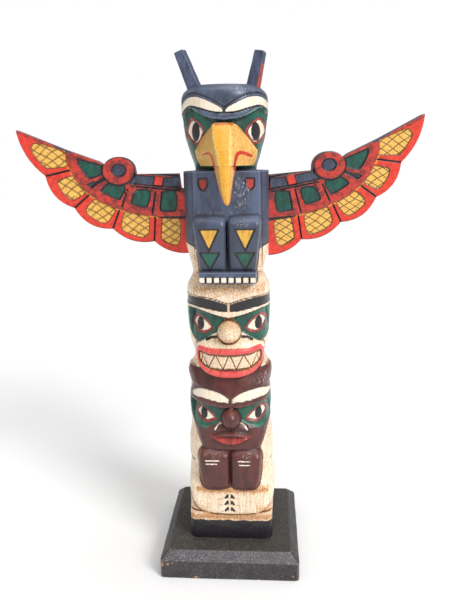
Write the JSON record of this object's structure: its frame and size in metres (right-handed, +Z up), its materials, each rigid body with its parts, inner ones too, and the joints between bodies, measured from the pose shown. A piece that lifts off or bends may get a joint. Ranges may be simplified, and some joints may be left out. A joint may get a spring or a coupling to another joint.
{
  "type": "totem pole",
  "caption": "Small carved and painted wooden totem pole: a winged bird with a hooked beak above two bears, on a square chamfered base.",
  "frame": {"origin": "centre of the base's underside", "axes": "+Z up the pole, the carved front faces -Y, and the wings spread along X"},
  "size_m": [0.3907, 0.137, 0.4999],
  "materials": {
    "base_paint": "satin charcoal paint, chipped to bare wood on its edges",
    "pole_paint": "brushed paint, antiqued with brown, satin",
    "beak_paint": "speckled yellow paint, satin",
    "ear_paint": "blue-grey paint, satin",
    "wing_paint": "rubbed red, yellow, green and blue-grey paint, satin"
  },
  "bodies": {
    "root": {"base": "base_paint", "pole": "pole_paint", "beak": "beak_paint", "ear_left": "ear_paint", "ear_right": "ear_paint", "wing_left": "wing_paint", "wing_right": "wing_paint"}
  },
  "joints": []
}
